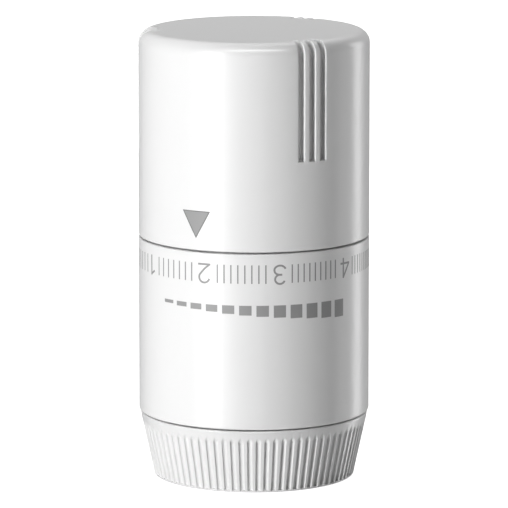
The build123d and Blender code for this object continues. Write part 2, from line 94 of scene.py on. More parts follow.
# ------------------------------------------------------------------ properties
def length(name, description, default):
    """A length in metres."""
    return FloatProperty(
        name=name, description=description, default=default, unit="LENGTH", precision=5
    )


def colour(name, description, default):
    """A colour with no alpha."""
    return FloatVectorProperty(
        name=name,
        description=description,
        default=default,
        subtype="COLOR",
        size=3,
        min=0.0,
        max=1.0,
    )


class HeadSizes(PropertyGroup):
    """Sizes of the pieces that are built here"""

    barrel_radius: length("Barrel radius", "Outside of handle and sleeve", SLEEVE_BOX[1].x)
    top: length("Top", "Height of the handle's top face", CAD_BOX[1].z)
    sleeve_foot: length("Sleeve foot", "Lower edge of the scale sleeve", SLEEVE_BOX[0].z)
    sleeve_top: length("Sleeve top", "Upper edge of the scale sleeve", SLEEVE_BOX[1].z)
    seam: length("Seam", "Open gap between the outer shells", 0.3 * MM)
    nut_top: length("Nut top", "Upper face of the union nut", NUT_BOX[1].z)
    nut_foot_radius: length("Nut foot radius", "Outside of the nut at its open end", 17.45 * MM)
    nut_head_radius: length("Nut head radius", "Outside of the nut's plain band", NUT_BOX[1].x)
    flutes: IntProperty(
        name="Flutes", description="Flutes round the nut", default=82, min=3, max=200
    )
    flute_width: length("Flute width", "Width of one flute", 0.92 * MM)
    flute_depth: length("Flute depth", "Depth of one flute", 0.38 * MM)
    thread_pitch: length("Thread pitch", "Pitch of the nut's thread", 1.5 * MM)
    groove_width: length("Groove width", "Width of one grip groove", 1.2 * MM)
    groove_depth: length("Groove depth", "Depth of a grip groove on the barrel", 1.0 * MM)
    groove_foot: length("Groove foot", "Lower end of the grip grooves", 57.6 * MM)
    ink: length("Ink", "How far a print stands on its surface", 0.012 * MM)


class HeadColours(PropertyGroup):
    """Colours of the finishes"""

    shell: colour("Shells", "White plastic of handle and sleeve", (0.72, 0.72, 0.72))
    nut: colour("Nut", "White of the union nut", (0.68, 0.68, 0.68))
    print: colour("Print", "Grey ink of the scale", (0.275, 0.275, 0.275))
    outline: colour("Outline", "Darker grey round the pointer", (0.16, 0.16, 0.16))
    body: colour("Body", "Pale grey plastic of the fixed body", (0.62, 0.62, 0.60))
    dark: colour("Dark plastic", "Filled plastic of the inner pieces", (0.035, 0.035, 0.038))
    plunger: colour("Plunger", "Natural plastic of the plunger", (0.70, 0.68, 0.61))
    steel: colour("Steel", "Springs, rings and clips", (0.50, 0.50, 0.51))
    aluminium: colour("Aluminium", "Drawn shell of the sensor", (0.72, 0.72, 0.73))
    brass: colour("Brass", "Bellows and piston", (0.68, 0.50, 0.22))
    copper: colour("Copper", "Filling stub", (0.66, 0.33, 0.19))
    rubber: colour("Rubber", "Friction ring", (0.018, 0.018, 0.018))
    floor: colour("Floor", "Pale floor", (0.38, 0.38, 0.38))


def sizes():
    """The scene's lengths in millimetres and its counts, by property name."""
    group = bpy.context.scene.radiator_head_sizes
    values = {name: getattr(group, name) for name in HeadSizes.__annotations__}
    return {
        name: value if isinstance(value, int) else value / MM for name, value in values.items()
    }


# ------------------------------------------------------------------ node trees
class Tree:
    """Short calls that add nodes to one node tree and link them."""

    def __init__(self, tree):
        self.tree = tree

    def join(self, value, socket):
        """Links a socket, or sets a plain value."""
        if isinstance(value, bpy.types.NodeSocket):
            self.tree.links.new(value, socket)
        else:
            socket.default_value = value

    def node(self, kind, values=None, **settings):
        """A node with its settings and its inputs, which are named or numbered."""
        made = self.tree.nodes.new(kind)
        for name, value in settings.items():
            setattr(made, name, value)
        for key, value in (values or {}).items():
            self.join(value, made.inputs[key])
        return made

    def math(self, operation, *values):
        """The result of one math node."""
        return self.node("ShaderNodeMath", dict(enumerate(values)), operation=operation).outputs[0]

    def total(self, first, *rest):
        """The sum of several values."""
        for value in rest:
            first = self.math("ADD", first, value)
        return first

    def clamp(self, value):
        """The value held between 0 and 1."""
        return self.math("MINIMUM", self.math("MAXIMUM", value, 0.0), 1.0)


def new_group(kind, name, inputs, outputs):
    """A node group with its sockets: its Tree, its input sockets and its output sockets."""
    group = bpy.data.node_groups.new(name, kind)
    for direction, sockets in (("INPUT", inputs), ("OUTPUT", outputs)):
        for label, (socket_type, default) in sockets.items():
            socket = group.interface.new_socket(
                label, in_out=direction, socket_type="NodeSocket" + socket_type
            )
            if default is not None:
                socket.default_value = default
    tree = Tree(group)
    return tree, tree.node("NodeGroupInput").outputs, tree.node("NodeGroupOutput").inputs


def shaping_group(name, inputs):
    """A geometry group that takes a shape and a material and puts out a shape."""
    return new_group(
        "GeometryNodeTree",
        name,
        {"Geometry": ("Geometry", None), **inputs, "Material": ("Material", None)},
        {"Geometry": ("Geometry", None)},
    )


def close_group(tree, shape, material, end):
    """The last two nodes of each geometry group."""
    real = tree.node("GeometryNodeRealizeInstances", {"Geometry": shape}).outputs[0]
    done = tree.node("GeometryNodeSetMaterial", {"Geometry": real, "Material": material})
    tree.join(done.outputs[0], end["Geometry"])
    return tree.tree


def place_parts(tree):
    """X, Y and Z of the point that a geometry group works on."""
    position = tree.node("GeometryNodeInputPosition").outputs[0]
    return tree.node("ShaderNodeSeparateXYZ", {"Vector": position}).outputs


def repeat_round_axis():
    """A shape repeated round the Z axis, with the copies welded where they meet."""
    tree, given, end = shaping_group(
        "Repeat Round Axis",
        {"Count": ("Int", 12), "First Angle": ("Float", 0.0), "Step Angle": ("Float", 0.1)},
    )
    index = tree.node("GeometryNodeInputIndex").outputs[0]
    angle = tree.math("MULTIPLY_ADD", index, given["Step Angle"], given["First Angle"])
    turn = tree.node("ShaderNodeCombineXYZ", {"Z": angle}).outputs[0]
    points = tree.node("GeometryNodePoints", {"Count": given["Count"]}).outputs[0]
    copies = tree.node(
        "GeometryNodeInstanceOnPoints",
        {"Points": points, "Instance": given["Geometry"], "Rotation": turn},
    ).outputs[0]
    real = tree.node("GeometryNodeRealizeInstances", {"Geometry": copies}).outputs[0]
    welded = tree.node("GeometryNodeMergeByDistance", {"Geometry": real, "Distance": 1e-6})
    return close_group(tree, welded.outputs[0], given["Material"], end)


def cut_thread():
    """An internal right-hand thread, cut where the mesh's thread attribute is 1.

    The rows of the mesh slide up with the turn, one row's height at a time, so that the
    thread's edges lie on mesh edges.
    """
    tree, given, end = shaping_group(
        "Cut Thread",
        {
            "Minor Radius": ("Float", 0.014),
            "Depth": ("Float", 0.0008),
            "Pitch": ("Float", 0.0015),
            "Rows Per Pitch": ("Int", 12),
            "Lead In": ("Float", 0.001),
            "Run Out": ("Float", 0.007),
        },
    )
    x, y, z = place_parts(tree)
    turn = tree.math("DIVIDE", tree.math("ARCTAN2", y, x), 2 * math.pi)
    step = tree.math("DIVIDE", given["Pitch"], given["Rows Per Pitch"])
    slide = tree.math("FRACT", tree.math("MULTIPLY", turn, given["Rows Per Pitch"]))
    height = tree.math("MULTIPLY_ADD", slide, step, z)
    along = tree.math("DIVIDE", height, given["Pitch"])
    phase = tree.math("FRACT", tree.math("SUBTRACT", along, turn))
    crest, flank = 1 / 4, 1 / 3
    rise = tree.math("DIVIDE", tree.math("SUBTRACT", phase, crest), flank)
    fall = tree.math("DIVIDE", tree.math("SUBTRACT", 1.0, phase), flank)
    groove = tree.clamp(tree.math("MINIMUM", rise, fall))
    minor = given["Minor Radius"]
    wall = tree.math("MULTIPLY_ADD", groove, given["Depth"], minor)
    lead_in = tree.math("ADD", minor, tree.math("SUBTRACT", given["Lead In"], height))
    run_out = tree.math("ADD", minor, tree.math("SUBTRACT", height, given["Run Out"]))
    radius = tree.math("MAXIMUM", wall, tree.math("MAXIMUM", lead_in, run_out))
    angle = tree.math("ARCTAN2", y, x)
    place = tree.node(
        "ShaderNodeCombineXYZ",
        {
            "X": tree.math("MULTIPLY", radius, tree.math("COSINE", angle)),
            "Y": tree.math("MULTIPLY", radius, tree.math("SINE", angle)),
            "Z": height,
        },
    ).outputs[0]
    marked = tree.node("GeometryNodeInputNamedAttribute", {"Name": "thread"}).outputs[0]
    moved = tree.node(
        "GeometryNodeSetPosition",
        {
            "Geometry": given["Geometry"],
            "Selection": tree.math("GREATER_THAN", marked, 0.5),
            "Position": place,
        },
    ).outputs[0]
    return close_group(tree, moved, given["Material"], end)


def barrel_wrap(tree, shape, radius):
    """Set Position that rolls a flat drawing on to the barrel: X runs round it, Y is its
    height, and Z stands out from it."""
    x, y, z = place_parts(tree)
    angle = tree.math("DIVIDE", x, radius)
    out = tree.math("ADD", radius, z)
    forward = tree.math("MULTIPLY", out, tree.math("COSINE", angle))
    place = tree.node(
        "ShaderNodeCombineXYZ",
        {
            "X": tree.math("MULTIPLY", out, tree.math("SINE", angle)),
            "Y": tree.math("MULTIPLY", forward, -1.0),
            "Z": y,
        },
    ).outputs[0]
    return tree.node("GeometryNodeSetPosition", {"Geometry": shape, "Position": place}).outputs[0]


def wrapped_plates():
    """Flat plates rolled on to the barrel."""
    tree, given, end = shaping_group("Wrapped Plates", {"Radius": ("Float", 0.02)})
    rolled = barrel_wrap(tree, given["Geometry"], given["Radius"])
    return close_group(tree, rolled, given["Material"], end)


def wrapped_strokes():
    """Lines drawn with a broad pen and rolled on to the barrel."""
    tree, given, end = shaping_group(
        "Wrapped Strokes",
        {
            "Radius": ("Float", 0.02),
            "Pen Width": ("Float", 0.0003),
            "Ink": ("Float", 0.00002),
            "Step": ("Float", 0.0002),
        },
    )
    lines = tree.node("GeometryNodeMeshToCurve", {0: given["Geometry"]}).outputs[0]
    lines = tree.node(
        "GeometryNodeResampleCurve",
        {"Curve": lines, "Length": given["Step"]},
        mode="LENGTH",
    ).outputs[0]
    lines = tree.node("GeometryNodeSetCurveNormal", {"Curve": lines}, mode="Z_UP").outputs[0]
    pen = tree.node(
        "GeometryNodeCurvePrimitiveQuadrilateral",
        {"Width": given["Pen Width"], "Height": given["Ink"]},
    ).outputs[0]
    drawn = tree.node(
        "GeometryNodeCurveToMesh", {"Curve": lines, "Profile Curve": pen, "Fill Caps": True}
    ).outputs[0]
    rolled = barrel_wrap(tree, drawn, given["Radius"])
    return close_group(tree, rolled, given["Material"], end)


def coil_spring():
    """A compression spring with closed end turns, rising from the foot."""
    tree, given, end = shaping_group(
        "Coil Spring",
        {
            "Mean Radius": ("Float", 0.009),
            "Wire Radius": ("Float", 0.0007),
            "Foot": ("Float", 0.0),
            "Height": ("Float", 0.008),
            "Turns": ("Float", 3.5),
            "Closed Turns": ("Float", 0.75),
            "Steps Per Turn": ("Int", 48),
            "Wire Sides": ("Int", 14),
        },
    )
    steps = tree.math("MULTIPLY", given["Turns"], given["Steps Per Turn"])
    line = tree.node("GeometryNodeCurvePrimitiveLine").outputs[0]
    line = tree.node(
        "GeometryNodeResampleCurve", {"Curve": line, "Count": tree.math("ADD", steps, 1.0)}
    ).outputs[0]
    index = tree.node("GeometryNodeInputIndex").outputs[0]
    turned = tree.math("DIVIDE", index, given["Steps Per Turn"])
    wire = tree.math("MULTIPLY", given["Wire Radius"], 2.0)
    closed = given["Closed Turns"]
    active = tree.math("SUBTRACT", given["Turns"], tree.math("MULTIPLY", closed, 2.0))
    closed_height = tree.math("MULTIPLY", tree.math("MULTIPLY", closed, 2.0), wire)
    rise = tree.math("SUBTRACT", tree.math("SUBTRACT", given["Height"], wire), closed_height)
    pitch = tree.math("DIVIDE", rise, active)
    low = tree.math("MULTIPLY", tree.math("MINIMUM", turned, closed), wire)
    middle = tree.math("MAXIMUM", tree.math("SUBTRACT", turned, closed), 0.0)
    middle = tree.math("MULTIPLY", tree.math("MINIMUM", middle, active), pitch)
    last = tree.math("SUBTRACT", tree.math("SUBTRACT", turned, closed), active)
    last = tree.math("MULTIPLY", tree.math("MAXIMUM", last, 0.0), wire)
    angle = tree.math("MULTIPLY", turned, 2 * math.pi)
    place = tree.node(
        "ShaderNodeCombineXYZ",
        {
            "X": tree.math("MULTIPLY", given["Mean Radius"], tree.math("COSINE", angle)),
            "Y": tree.math("MULTIPLY", given["Mean Radius"], tree.math("SINE", angle)),
            "Z": tree.total(given["Foot"], given["Wire Radius"], low, middle, last),
        },
    ).outputs[0]
    path = tree.node("GeometryNodeSetPosition", {"Geometry": line, "Position": place}).outputs[0]
    section = tree.node(
        "GeometryNodeCurvePrimitiveCircle",
        {"Resolution": given["Wire Sides"], "Radius": given["Wire Radius"]},
    ).outputs[0]
    coil = tree.node(
        "GeometryNodeCurveToMesh", {"Curve": path, "Profile Curve": section, "Fill Caps": True}
    ).outputs[0]
    return close_group(tree, coil, given["Material"], end)


def run_groups(name, mesh, *steps):
    """The plain mesh that geometry groups make of a mesh. Each step is a group and its inputs."""
    source = bpy.data.objects.new(name + "_source", mesh)
    bpy.context.scene.collection.objects.link(source)
    for group, values in steps:
        modifier = source.modifiers.new(group.name, "NODES")
        modifier.node_group = group
        for item in group.interface.items_tree:
            if item.in_out == "INPUT" and item.name in values:
                modifier[item.identifier] = values[item.name]
    graph = bpy.context.evaluated_depsgraph_get()
    made = bpy.data.meshes.new_from_object(source.evaluated_get(graph), depsgraph=graph)
    source.modifiers.clear()
    bpy.data.objects.remove(source)
    if not made.polygons:
        raise RuntimeError(f"the geometry groups made nothing for {name}")
    return made


# ------------------------------------------------------------------ finishes
def grain_group():
    """Fine grain of a moulded or painted surface: a colour, a roughness and a height."""
    tree, given, end = new_group(
        "ShaderNodeTree",
        "Moulded Grain",
        {
            "Colour": ("Color", (0.8, 0.8, 0.8, 1.0)),
            "Shade": ("Float", 0.96),
            "Grain": ("Float", 9000.0),
            "Mottle": ("Float", 220.0),
            "Roughness": ("Float", 0.4),
            "Spread": ("Float", 0.06),
        },
        {"Colour": ("Color", None), "Roughness": ("Float", None), "Height": ("Float", None)},
    )
    where = tree.node("ShaderNodeTexCoord").outputs["Object"]
    fine = tree.node(
        "ShaderNodeTexNoise", {"Vector": where, "Scale": given["Grain"], "Detail": 3.0}
    ).outputs[0]
    broad = tree.node(
        "ShaderNodeTexNoise", {"Vector": where, "Scale": given["Mottle"], "Detail": 4.0}
    ).outputs[0]
    mixed = tree.math("MULTIPLY_ADD", broad, 0.6, tree.math("MULTIPLY", fine, 0.4))
    shaded = tree.node(
        "ShaderNodeMix",
        {"Factor": given["Shade"], 6: (0.0, 0.0, 0.0, 1.0), 7: given["Colour"]},
        data_type="RGBA",
    ).outputs[2]
    tinted = tree.node(
        "ShaderNodeMix",
        {"Factor": mixed, 6: shaded, 7: given["Colour"]},
        data_type="RGBA",
    ).outputs[2]
    centred = tree.math("SUBTRACT", mixed, 0.5)
    rough = tree.math("MULTIPLY_ADD", centred, given["Spread"], given["Roughness"])
    tree.join(tinted, end["Colour"])
    tree.join(rough, end["Roughness"])
    tree.join(fine, end["Height"])
    return tree.tree


def marks_group():
    """Drawing and turning marks of a metal: noise that is stretched by the Stretch input."""
    tree, given, end = new_group(
        "ShaderNodeTree",
        "Metal Marks",
        {
            "Colour": ("Color", (0.5, 0.5, 0.5, 1.0)),
            "Stain": ("Color", (0.4, 0.4, 0.4, 1.0)),
            "Stretch": ("Vector", (1.0, 1.0, 12.0)),
            "Scale": ("Float", 900.0),
            "Roughness": ("Float", 0.3),
            "Spread": ("Float", 0.2),
        },
        {"Colour": ("Color", None), "Roughness": ("Float", None), "Height": ("Float", None)},
    )
    where = tree.node("ShaderNodeTexCoord").outputs["Object"]
    stretched = tree.node(
        "ShaderNodeVectorMath", {0: where, 1: given["Stretch"]}, operation="MULTIPLY"
    ).outputs[0]
    marks = tree.node(
        "ShaderNodeTexNoise", {"Vector": stretched, "Scale": given["Scale"], "Detail": 5.0}
    ).outputs[0]
    stains = tree.node(
        "ShaderNodeTexNoise", {"Vector": where, "Scale": 160.0, "Detail": 4.0}
    ).outputs[0]
    tinted = tree.node(
        "ShaderNodeMix",
        {"Factor": tree.math("POWER", stains, 2.0), 6: given["Colour"], 7: given["Stain"]},
        data_type="RGBA",
    ).outputs[2]
    centred = tree.math("SUBTRACT", marks, 0.5)
    rough = tree.math("MULTIPLY_ADD", centred, given["Spread"], given["Roughness"])
    tree.join(tinted, end["Colour"])
    tree.join(rough, end["Roughness"])
    tree.join(marks, end["Height"])
    return tree.tree


def shared_group(maker, name):
    """A node group by name, made the first time it is asked for."""
    return bpy.data.node_groups.get(name) or maker()


def finish(name, group, values, bump, distance, **shader):
    """A material on the Principled shader: a group gives its varying inputs. The bump is
    its strength, and the distance its height in millimetres."""
    material = bpy.data.materials.get(name)
    if material:
        return material
    material = bpy.data.materials.new(name)
    material.use_nodes = True
    material.node_tree.nodes.clear()
    tree = Tree(material.node_tree)
    effect = tree.node("ShaderNodeGroup", node_tree=group)
    for key, value in values.items():
        effect.inputs[key].default_value = value
    raised = tree.node(
        "ShaderNodeBump",
        {"Strength": bump, "Distance": distance * MM, "Height": effect.outputs["Height"]},
    ).outputs[0]
    surface = tree.node(
        "ShaderNodeBsdfPrincipled",
        {
            "Base Color": effect.outputs["Colour"],
            "Roughness": effect.outputs["Roughness"],
            "Normal": raised,
            **{key.replace("_", " "): value for key, value in shader.items()},
        },
    ).outputs[0]
    output = tree.node("ShaderNodeOutputMaterial")
    tree.join(surface, output.inputs["Surface"])
    return material


def plastic(name, tint, roughness, shade=0.965, grain=7000.0, spread=0.06, **shader):
    """A moulded plastic."""
    return finish(
        name,
        shared_group(grain_group, "Moulded Grain"),
        {
            "Colour": (*tint, 1.0),
            "Shade": shade,
            "Grain": grain,
            "Roughness": roughness,
            "Spread": spread,
        },
        bump=0.12,
        distance=0.01,
        **shader,
    )


def metal(name, tint, stain, roughness, stretch, **shader):
    """A bare metal with marks from how it was made."""
    return finish(
        name,
        shared_group(marks_group, "Metal Marks"),
        {
            "Colour": (*tint, 1.0),
            "Stain": (*stain, 1.0),
            "Stretch": stretch,
            "Roughness": roughness,
        },
        bump=0.25,
        distance=0.01,
        Metallic=1.0,
        **shader,
    )


def finishes():
    """Every finish of the head, by name."""
    tint = bpy.context.scene.radiator_head_colours
    drawn, turned = (1.0, 1.0, 0.08), (1.0, 1.0, 14.0)
    return {
        "shell": plastic("satin_white_shell", tint.shell, 0.32, 0.985, IOR=1.5),
        "nut": plastic("white_nut_coat", tint.nut, 0.30, 0.98, grain=5000.0, IOR=1.5),
        "print": plastic("grey_ink", tint.print, 0.5, 0.94, IOR=1.45),
        # a darker grey line drawn round the pointer's edge
        "outline": plastic("grey_ink_edge", tint.outline, 0.5, 0.94, IOR=1.45),
        "body": plastic("pale_body_plastic", tint.body, 0.42, 0.95),
        "dark": plastic("filled_dark_plastic", tint.dark, 0.48, 0.6, grain=3500.0, spread=0.2),
        "plunger": plastic("natural_plunger_plastic", tint.plunger, 0.34, 0.94),
        "rubber": plastic("friction_rubber", tint.rubber, 0.62, 0.7, grain=4000.0, spread=0.2),
        "steel": metal("spring_steel", tint.steel, (0.30, 0.29, 0.28), 0.32, turned),
        "aluminium": metal("drawn_aluminium", tint.aluminium, (0.6, 0.6, 0.6), 0.30, drawn),
        "brass": metal("bellows_brass", tint.brass, (0.50, 0.34, 0.15), 0.28, turned),
        "copper": metal("stub_copper", tint.copper, (0.38, 0.19, 0.12), 0.34, drawn),
    }


# ------------------------------------------------------------------ mesh helpers
def on_circle(radius, angle, height):
    """A point in metres from a radius and height in millimetres and an angle in radians."""
    return (
        radius * MM * math.cos(angle),
        radius * MM * math.sin(angle),
        height * MM,
    )


def skin(rows, around=True, loop=True):
    """Vertices and faces of a skin through rows of points. A row of one point is a pole.

    Around joins each row's ends, and loop joins the last row to the first.
    """
    points, faces, index = [], [], []
    for row in rows:
        index.append(range(len(points), len(points) + len(row)))
        points.extend(row)
    pairs = list(zip(index, index[1:]))
    if loop:
        pairs.append((index[-1], index[0]))
    for low, high in pairs:
        count = max(len(low), len(high))
        for i in range(count if around else count - 1):
            j = (i + 1) % count
            if len(low) == 1:
                faces.append((low[0], high[j], high[i]))
            elif len(high) == 1:
                faces.append((low[i], low[j], high[0]))
            else:
                faces.append((low[i], low[j], high[j], high[i]))
    return points, faces


def mesh_of(name, points, faces, edges=()):
    """A mesh datablock from plain lists."""
    mesh = bpy.data.meshes.new(name)
    mesh.from_pydata(points, list(edges), faces)
    mesh.validate()
    return mesh


def lathe(outline, columns=256):
    """Points and faces of a closed outline of radii and heights, turned round Z.

    The outline runs anticlockwise with the radius to the right. An outline that starts
    and ends on the axis gives a solid with two poles.
    """
    angles = [2 * math.pi * i / columns for i in range(columns)]
    rows = [
        [on_circle(radius, angle, height) for angle in angles]
        if radius > 1e-6
        else [(0.0, 0.0, height * MM)]
        for radius, height in outline
    ]
    return skin(rows, loop=len(rows[0]) > 1)


def rounded(corners, steps=4):
    """The points of an outline with rounded corners. A corner is (x, y, radius), and the
    arc has a short straight run at each end, which keeps the flat faces' shading flat."""
    points = []
    for i, (x, y, radius) in enumerate(corners):
        if not radius:
            points.append((x, y))
            continue
        here = Vector((x, y))
        back = (Vector(corners[i - 1][:2]) - here).normalized()
        ahead = (Vector(corners[(i + 1) % len(corners)][:2]) - here).normalized()
        half = back.angle(ahead) / 2
        reach = radius / math.tan(half)
        centre = here + (back + ahead).normalized() * (radius / math.sin(half))
        first = here + back * reach - centre
        last = here + ahead * reach - centre
        sweep = first.angle_signed(last)
        support = min(0.35 * radius, 0.1)
        points.append(tuple(here + back * (reach + support)))
        for k in range(steps + 1):
            points.append(tuple(centre + Matrix.Rotation(-sweep * k / steps, 2) @ first))
        points.append(tuple(here + ahead * (reach + support)))
    return points


def add_piece(name, mesh, material, body, replaced=(), sharp=34.0):
    """The finished object of a mesh, riding on its CAD body."""
    mesh.name = name
    mesh.materials.clear()
    mesh.materials.append(material)
    mesh.shade_smooth()
    mesh.set_sharp_from_angle(angle=math.radians(sharp))
    piece = bpy.data.objects.new(name, mesh)
    bpy.context.scene.collection.objects.link(piece)
    if body:
        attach(piece, body)
    if replaced:
        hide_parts(*replaced)
    return piece


def joined(*shapes):
    """One set of points and faces from several."""
    points, faces = [], []
    for more_points, more_faces in shapes:
        start = len(points)
        points.extend(more_points)
        faces.extend(tuple(start + i for i in face) for face in more_faces)
    return points, faces


# ------------------------------------------------------------------ union nut
class RADIATOR_HEAD_OT_union_nut(Operator):
    """Makes the fluted union nut with its internal thread"""

    bl_idname = "radiator_head.union_nut"
    bl_label = "Union nut"

    thread_minor_radius = 14.19
    thread_depth = 0.81
    thread_rows = 12
    lead_in = 1.0
    run_out = 7.0
    relief_radius = 15.2
    lip_z = 9.7
    neck_radius = 13.15
    band = 1.3  # height of the plain band above the flutes
    run_up = 0.9  # height over which a flute fades out into the band
    edge = 0.3  # radius of the foot's outer edge
    foot_ring = 0.35  # height of the plain ring under the flutes
    # places across a flute, as parts of its half width
    across = (-1.0, -0.85, -0.6, -0.3, 0.0, 0.3, 0.6, 0.85, 1.0)

    def sector(self, size):
        """One tooth of the nut: rows of points across the tooth, and which rows are thread."""
        wide, deep = size["flute_width"] / 2, size["flute_depth"]
        cut = (wide**2 + deep**2) / (2 * deep)
        foot, head, top = size["nut_foot_radius"], size["nut_head_radius"], size["nut_top"]
        edge = self.edge
        slope = (head - foot) / (top - 2 * edge)
        flute_end = top - self.band - self.run_up
        outer = rounded(
            [
                (self.thread_minor_radius + self.lead_in, 0, 0),
                (foot - slope * edge, 0, edge),
                (head, top - edge * 0.6, 0.2),
                (head - edge * 0.6, top, 0.1),
                (self.neck_radius, top, 0.15),
                (self.neck_radius, self.lip_z, 0),
                (self.relief_radius, self.lip_z, 0),
                (self.relief_radius, self.run_out + self.lead_in, 0),
            ],
            steps=3,
        )
        heights = [self.foot_ring + 0.1, self.foot_ring + 0.2]
        heights += [flute_end + self.run_up * i / 6 for i in range(-1, 7)]
        wall_top = next(i for i, point in enumerate(outer) if point[1] > top / 2)
        outer[wall_top:wall_top] = [(foot + slope * (z - edge), z) for z in heights]
        step = size["thread_pitch"] / self.thread_rows
        count = round((self.run_out + self.lead_in) / step)
        thread = [(self.thread_minor_radius, step * i) for i in range(count - 1, 0, -1)]
        half = math.pi / size["flutes"]
        rows = []
        for radius, height in outer + thread:
            cone = foot + slope * (height - edge)
            row = [on_circle(radius, -half, height)]
            for side in (wide * share for share in self.across):
                risen = deep * max(0.0, height - flute_end) / self.run_up
                if height < self.foot_ring:
                    risen = deep
                depth = max(0.0, math.sqrt(cut**2 - side**2) - cut + deep - risen)
                bottom = min(radius, cone - depth) if radius > self.relief_radius else radius
                row.append(on_circle(bottom, side / cone, height))
            row.append(on_circle(radius, half, height))
            rows.append(row)
        marks = [False] * len(outer) + [True] * len(thread)
        return rows, [mark for mark, row in zip(marks, rows) for _ in row]

    def execute(self, context):
        size = sizes()
        rows, marks = self.sector(size)
        mesh = mesh_of("nut_tooth", *skin(rows, around=False))
        thread = mesh.attributes.new("thread", "FLOAT", "POINT")
        thread.data.foreach_set("value", [float(mark) for mark in marks])
        material = finishes()["nut"]
        made = run_groups(
            "union_nut",
            mesh,
            (
                shared_group(repeat_round_axis, "Repeat Round Axis"),
                {
                    "Count": size["flutes"],
                    "Step Angle": 2 * math.pi / size["flutes"],
                    "Material": material,
                },
            ),
            (
                cut_thread(),
                {
                    "Minor Radius": self.thread_minor_radius * MM,
                    "Depth": self.thread_depth * MM,
                    "Pitch": size["thread_pitch"] * MM,
                    "Rows Per Pitch": self.thread_rows,
                    "Lead In": self.lead_in * MM,
                    "Run Out": self.run_out * MM,
                    "Material": material,
                },
            ),
        )
        add_piece("fluted_nut", made, material, "union_nut", ["union_nut"])
        return {"FINISHED"}


# ------------------------------------------------------------------ scale sleeve
class RADIATOR_HEAD_OT_scale_sleeve(Operator):
    """Makes the fixed middle shell, with countersunk screw holes in its floor"""

    bl_idname = "radiator_head.scale_sleeve"
    bl_label = "Scale sleeve"

    wall = 1.8
    neck_radius = 13.1
    screw_circle = 15.4
    screw_angles = (-30.0, 90.0, 210.0)
    screw_head = 2.15  # radius of a seat's wide end
    screw_hole = 1.2
    screw_sink = 0.85  # height of a seat's cone
    past = 0.1  # how far the cutter stands out of the floor on both sides

    def blank(self, size, foot, floor):
        """The shell without its screw holes."""
        radius, top = size["barrel_radius"], size["sleeve_top"]
        outline = rounded(
            [
                (self.neck_radius, foot, 0),
                (radius, foot, 0.3),
                (radius, top, 0.22),
                (radius - self.wall, top, 0.12),
                (radius - self.wall, floor, 0),
                (self.neck_radius, floor, 0),
            ]
        )
        return mesh_of("sleeve_blank", *lathe(outline, 360))

    def seats(self, foot, floor):
        """What is cut away for the three screws."""
        low, high = foot - self.past, floor + self.past
        cone = [(0, low), (self.screw_head, low), (self.screw_hole, foot + self.screw_sink)]
        points, faces = lathe([*cone, (self.screw_hole, high), (0, high)], 32)
        around = []
        for angle in self.screw_angles:
            shift = Vector(on_circle(self.screw_circle, math.radians(angle), 0))
            around.append(([tuple(Vector(point) + shift) for point in points], faces))
        return mesh_of("seats", *joined(*around))

    def execute(self, context):
        size = sizes()
        foot = size["nut_top"] + size["seam"]
        floor = size["sleeve_foot"] + self.wall
        source = bpy.data.objects.new("sleeve_blank", self.blank(size, foot, floor))
        context.scene.collection.objects.link(source)
        cutter = bpy.data.objects.new("seat_cutter", self.seats(foot, floor))
        context.scene.collection.objects.link(cutter)
        cut = source.modifiers.new("Screw Seats", "BOOLEAN")
        cut.object, cut.operation, cut.solver = cutter, "DIFFERENCE", "EXACT"
        graph = context.evaluated_depsgraph_get()
        made = bpy.data.meshes.new_from_object(source.evaluated_get(graph), depsgraph=graph)
        bpy.data.objects.remove(source)
        bpy.data.objects.remove(cutter)
        material = finishes()["shell"]
        add_piece("sleeve_shell", made, material, "base", ["scale_sleeve"])
        return {"FINISHED"}


